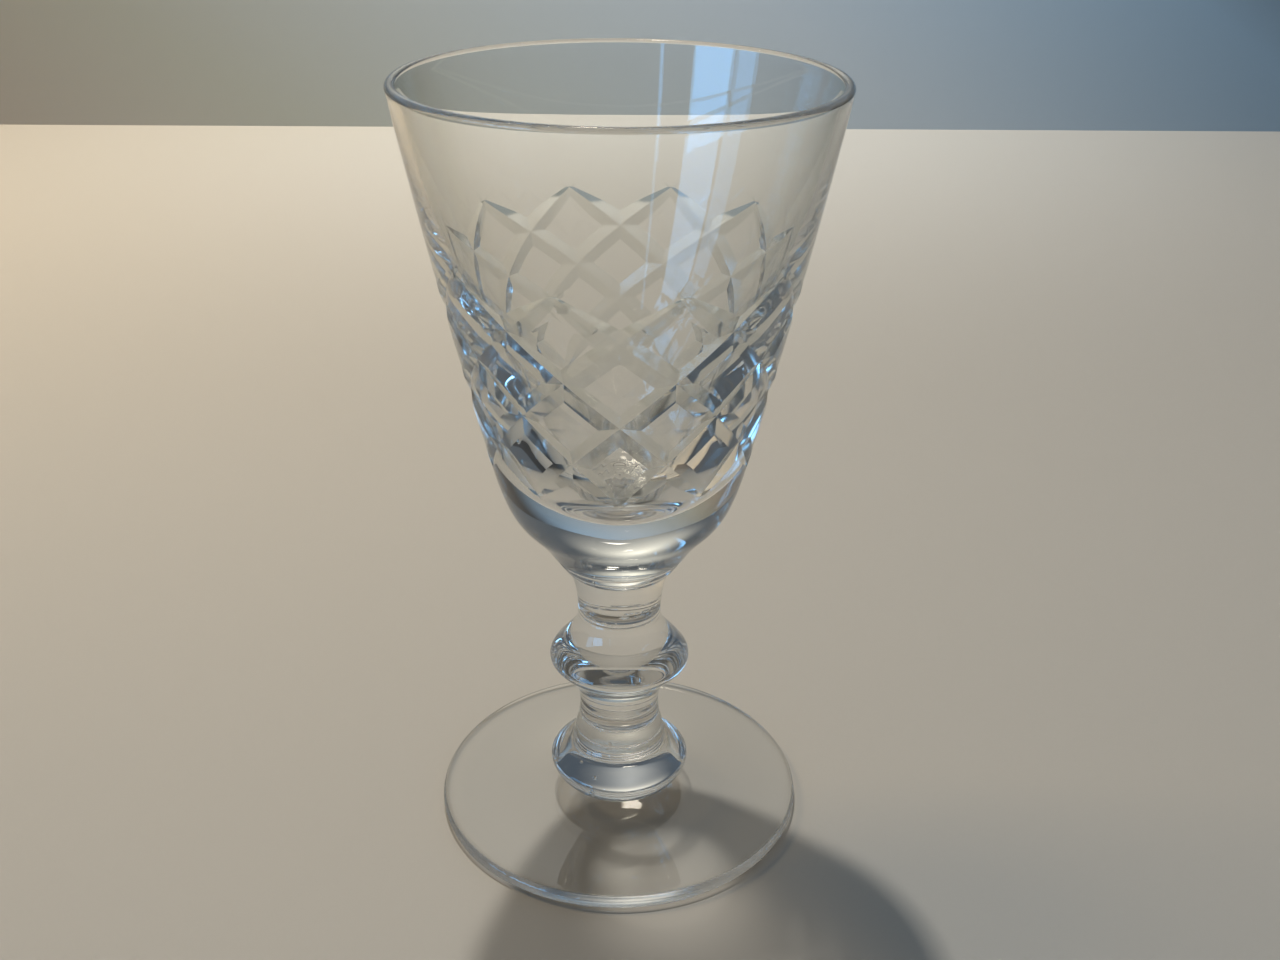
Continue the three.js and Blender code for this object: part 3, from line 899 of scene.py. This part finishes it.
def add_lights():
    """The lamps that light the stage, and the panels that the glass mirrors or bends into view.

    A lamp is given by its place, target, width, watts, colour and spread in degrees, a panel by its place,
    width, height, colour and strength.
    """
    overhead = (-0.094, 0.315, 0.945)
    add_lamp("overhead_lamp", overhead, (0, 0, 0.04), 0.035, 3.9, "#fff8ee", 180)
    add_lamp("warm_wash", (-0.42, 0.24, 0.5), (-0.26, 0.22, 0), 0.2, 0.64, "#ffdca6", 95)
    add_lamp("wall_wash", (0.0, 0.05, 0.5), (0.0, 0.383, 0.2), 0.2, 0.46, "#f6f5f2", 62)
    add_panel("overhead_glow", overhead, 0.18, 0.18, "#fff3df", 110, soft=True)
    add_panel("window_wide", (-1.2, -0.9, 0.42), 0.62, 0.48, "#80c4ff", 6)
    add_panel("window_narrow", (-1.44, -0.43, 0.42), 0.34, 0.48, "#80c4ff", 3.3)
    add_panel("window_gap", (-0.59, -1.38, 0.42), 0.05, 0.48, "#80c4ff", 3.3)
    add_panel("back_glow", (-0.15, 1.1, 0.48), 1.6, 0.8, "#e4ddca", 2.0, soft=True)
    add_panel("upper_glow", (-0.1, 1.0, 0.9), 1.2, 1.2, "#c9c8c0", 0.7, soft=True)
    add_panel("sheen_glow", (0.0, 0.9, 0.85), 2.2, 1.4, "#e2e0d8", 1.2, soft=True, through=False)
    add_panel("rail_glow", (0.02, 0.9, 0.24), 0.2, 0.014, "#fff6e8", 5, soft=True)


def add_air(look):
    """The world: soft light from all round, and a darker air where a path of light sees it directly."""
    world = bpy.data.worlds.new("studio_air")
    world.use_nodes = True
    tree = world.node_tree
    tree.nodes.clear()
    light = add(tree, "ShaderNodeBackground", {"Color": (*look.air, 1), "Strength": look.air_strength})
    seen = add(tree, "ShaderNodeBackground", {"Color": (*look.air, 1), "Strength": look.seen_strength})
    both = add(tree, "ShaderNodeMixShader", {0: before_paint(tree), 1: light.outputs[0], 2: seen.outputs[0]})
    add(tree, "ShaderNodeOutputWorld", {"Surface": both.outputs[0]})
    world.cycles.sampling_method = "NONE"
    bpy.context.scene.world = world


def add_camera(look):
    """The camera, turned, tilted and rolled in that order at its place."""
    lens = bpy.data.cameras.new("camera")
    lens.lens, lens.sensor_width, lens.sensor_fit = look.lens, 36, "HORIZONTAL"
    lens.clip_start, lens.clip_end = 0.005, 20
    camera = bpy.data.objects.new("camera", lens)
    turn = Matrix.Rotation(-math.radians(CAMERA_YAW), 4, "Z")
    tilt = Matrix.Rotation(math.radians(90 - CAMERA_PITCH), 4, "X")
    roll = Matrix.Rotation(math.radians(CAMERA_ROLL), 4, "Z")
    camera.matrix_world = Matrix.Translation(CAMERA_PLACE) @ turn @ tilt @ roll
    bpy.context.collection.objects.link(camera)
    bpy.context.scene.camera = camera


class GLASS_OT_stage(bpy.types.Operator):
    """Make the floor and the wall behind, the lights and the camera"""

    bl_idname = "glass.stage"
    bl_label = "Stage"

    def execute(self, context):
        scene = context.scene
        look = scene.glass_stage
        add_ground(look)
        add_lights()
        add_air(look)
        add_camera(look)
        scene.view_settings.view_transform = "Standard"
        scene.cycles.max_bounces = GLASS_BOUNCES
        scene.cycles.glossy_bounces = GLASS_BOUNCES
        scene.cycles.transmission_bounces = GLASS_BOUNCES
        scene.cycles.transparent_max_bounces = GLASS_BOUNCES
        return {"FINISHED"}


OPERATORS = (GLASS_OT_foot, GLASS_OT_stem, GLASS_OT_bowl, GLASS_OT_stage)


class GLASS_PT_sidebar(bpy.types.Panel):
    """Lists the steps that build the glass"""

    bl_idname = "GLASS_PT_sidebar"
    bl_label = "Schnapps Glass"
    bl_space_type = "VIEW_3D"
    bl_region_type = "UI"
    bl_category = "Schnapps Glass"

    def draw(self, context):
        for operator in OPERATORS:
            self.layout.operator(operator.bl_idname)
        for group in (context.scene.glass_stem, context.scene.glass_bowl, context.scene.glass_stage):
            for name in group.__annotations__:
                self.layout.prop(group, name)


GROUPS = {"glass_stem": StemSizes, "glass_bowl": BowlSizes, "glass_stage": StageSettings}
CLASSES = (*GROUPS.values(), *OPERATORS, GLASS_PT_sidebar)


def register():
    """Register the classes and put the property groups on the scene."""
    for made in CLASSES:
        bpy.utils.register_class(made)
    for name, group in GROUPS.items():
        setattr(bpy.types.Scene, name, PointerProperty(type=group))


def unregister():
    """Take the property groups off the scene and unregister the classes."""
    for name in GROUPS:
        delattr(bpy.types.Scene, name)
    for made in reversed(CLASSES):
        bpy.utils.unregister_class(made)


def main():
    """Build the glass and its stage."""
    register()
    bpy.ops.glass.stage()
    bpy.ops.glass.foot()
    bpy.ops.glass.stem()
    bpy.ops.glass.bowl()


if __name__ == "__main__":
    main()
